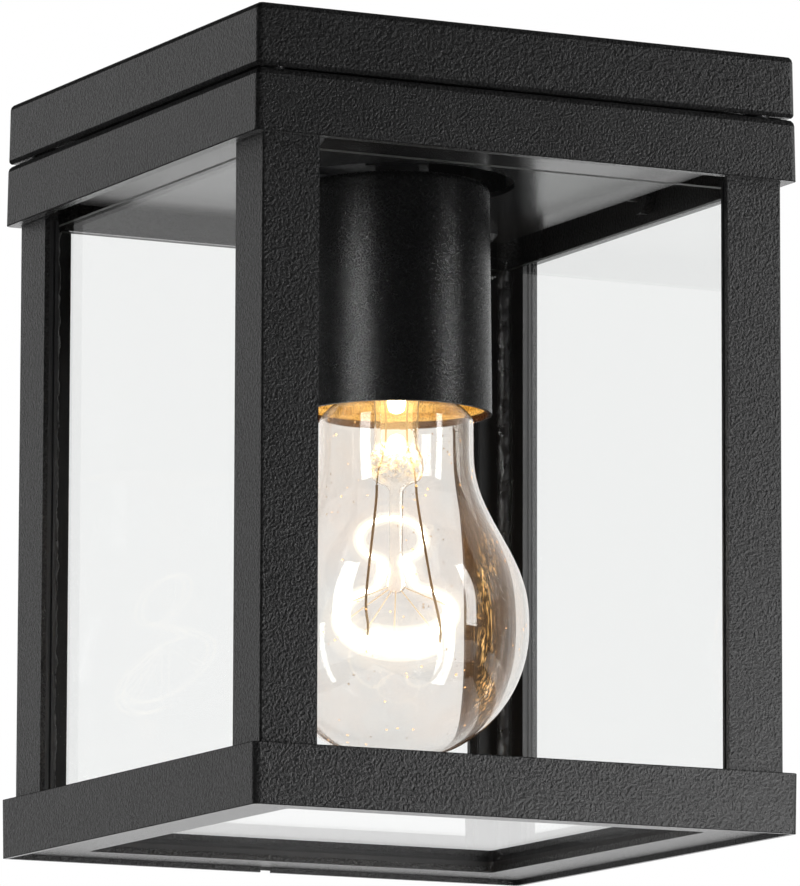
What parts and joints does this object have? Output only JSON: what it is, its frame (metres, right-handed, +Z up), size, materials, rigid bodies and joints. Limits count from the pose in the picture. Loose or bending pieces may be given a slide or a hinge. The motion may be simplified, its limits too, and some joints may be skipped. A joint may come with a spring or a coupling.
{
  "type": "porch ceiling lantern",
  "caption": "Square black ceiling lantern with a cast canopy, a glazed cage that drops off for re-lamping, a black lamp cup and a clear screw-in bulb pointing down.",
  "frame": {"origin": "centre of the canopy's ceiling face, midway between the two fixing slots; the lantern hangs below it", "axes": "+Z up, towards the ceiling; +X to the right and +Y to the back, square to the sides; the front is -Y"},
  "size_m": [0.1366, 0.1366, 0.1748],
  "materials": {
    "coat": "black textured powder coat over cast aluminium",
    "coat_steel": "black textured powder coat over steel",
    "plate": "black satin paint over sheet steel",
    "zinc": "bright zinc plate",
    "brass": "drawn brass",
    "porcelain": "glazed porcelain",
    "black_rubber": "black rubber, matt",
    "grey_foam": "closed-cell foam rubber",
    "white_plastic": "off-white moulded plastic",
    "brown_wire": "brown sleeve",
    "blue_wire": "blue sleeve",
    "green_wire": "green and yellow sleeve",
    "pane_glass": "clear flat glass",
    "bulb_glass": "thin clear blown glass",
    "stem_glass": "clear lead-in glass",
    "cap_metal": "bright rolled lamp cap",
    "black_glass": "black vitreous insulator",
    "lead": "drawn nickel wire",
    "glow": "glowing filament"
  },
  "bodies": {
    "ceiling_base": {"canopy": "coat", "ceiling_gasket": "grey_foam", "cable_grommet": "black_rubber", "gear_tray": "plate", "gear_tray_screws": "zinc", "tray_standoffs": "zinc", "earth_screw": "brass", "holder_bracket": "zinc", "bracket_nuts": "zinc", "nipple": "zinc", "nipple_nuts": "zinc", "lamp_cup": "coat_steel", "holder_body": "porcelain", "holder_shell": "brass", "holder_contact": "brass", "terminal_block": "white_plastic", "terminal_barrels": "brass", "terminal_screws": "zinc", "block_screws": "zinc", "live_wire": "brown_wire", "neutral_wire": "blue_wire", "earth_wire": "green_wire"},
    "cage": {"top_frame": "coat", "post_front_left": "coat", "post_front_right": "coat", "post_back_right": "coat", "post_back_left": "coat", "post_screws": "zinc", "pane_front": "pane_glass", "pane_right": "pane_glass", "pane_back": "pane_glass", "pane_left": "pane_glass", "strips_front": "black_rubber", "strips_right": "black_rubber", "strips_back": "black_rubber", "strips_left": "black_rubber", "corner_beads": "black_rubber", "bottom_frame": "coat", "bottom_seal": "black_rubber", "bottom_pane": "pane_glass"},
    "right_screw_travel": {"screw_washer_right": "black_rubber"},
    "right_screw": {"cage_screw_right": "coat_steel"},
    "back_screw_travel": {"screw_washer_back": "black_rubber"},
    "back_screw": {"cage_screw_back": "coat_steel"},
    "bulb_travel": {"bulb_contact": "cap_metal"},
    "bulb": {"bulb_glass": "bulb_glass", "bulb_cap": "cap_metal", "bulb_insulator": "black_glass", "bulb_stem": "stem_glass", "lead_wires": "lead", "filament": "glow", "filament_supports": "lead"}
  },
  "joints": [
    {"name": "cage_drop", "type": "slide", "parent": "ceiling_base", "child": "cage", "axis": [0, 0, 1], "range_m": [-0.165, 0]},
    {"name": "right_screw_out", "type": "slide", "parent": "cage", "child": "right_screw_travel", "axis": [1, 0, 0], "range_m": [0, 0.0035]},
    {"name": "right_screw_turn", "type": "hinge", "parent": "right_screw_travel", "child": "right_screw", "pos_m": [0.066, 0, -0.0208], "axis": [1, 0, 0], "range_deg": [0, 1800]},
    {"name": "back_screw_out", "type": "slide", "parent": "cage", "child": "back_screw_travel", "axis": [0, 1, 0], "range_m": [0, 0.0035]},
    {"name": "back_screw_turn", "type": "hinge", "parent": "back_screw_travel", "child": "back_screw", "pos_m": [0, 0.066, -0.0208], "axis": [0, 1, 0], "range_deg": [0, 1800]},
    {"name": "bulb_drop", "type": "slide", "parent": "ceiling_base", "child": "bulb_travel", "axis": [0, 0, 1], "range_m": [-0.0109, 0]},
    {"name": "bulb_turn", "type": "hinge", "parent": "bulb_travel", "child": "bulb", "pos_m": [0, 0, -0.05], "axis": [0, 0, 1], "range_deg": [-1080, 0]}
  ],
  "couplings": [
    {"joint": "right_screw_turn", "follows": "right_screw_out", "rad_per_m": 8976},
    {"joint": "back_screw_turn", "follows": "back_screw_out", "rad_per_m": 8976},
    {"joint": "bulb_drop", "follows": "bulb_turn", "m_per_rad": 0.00057773}
  ]
}
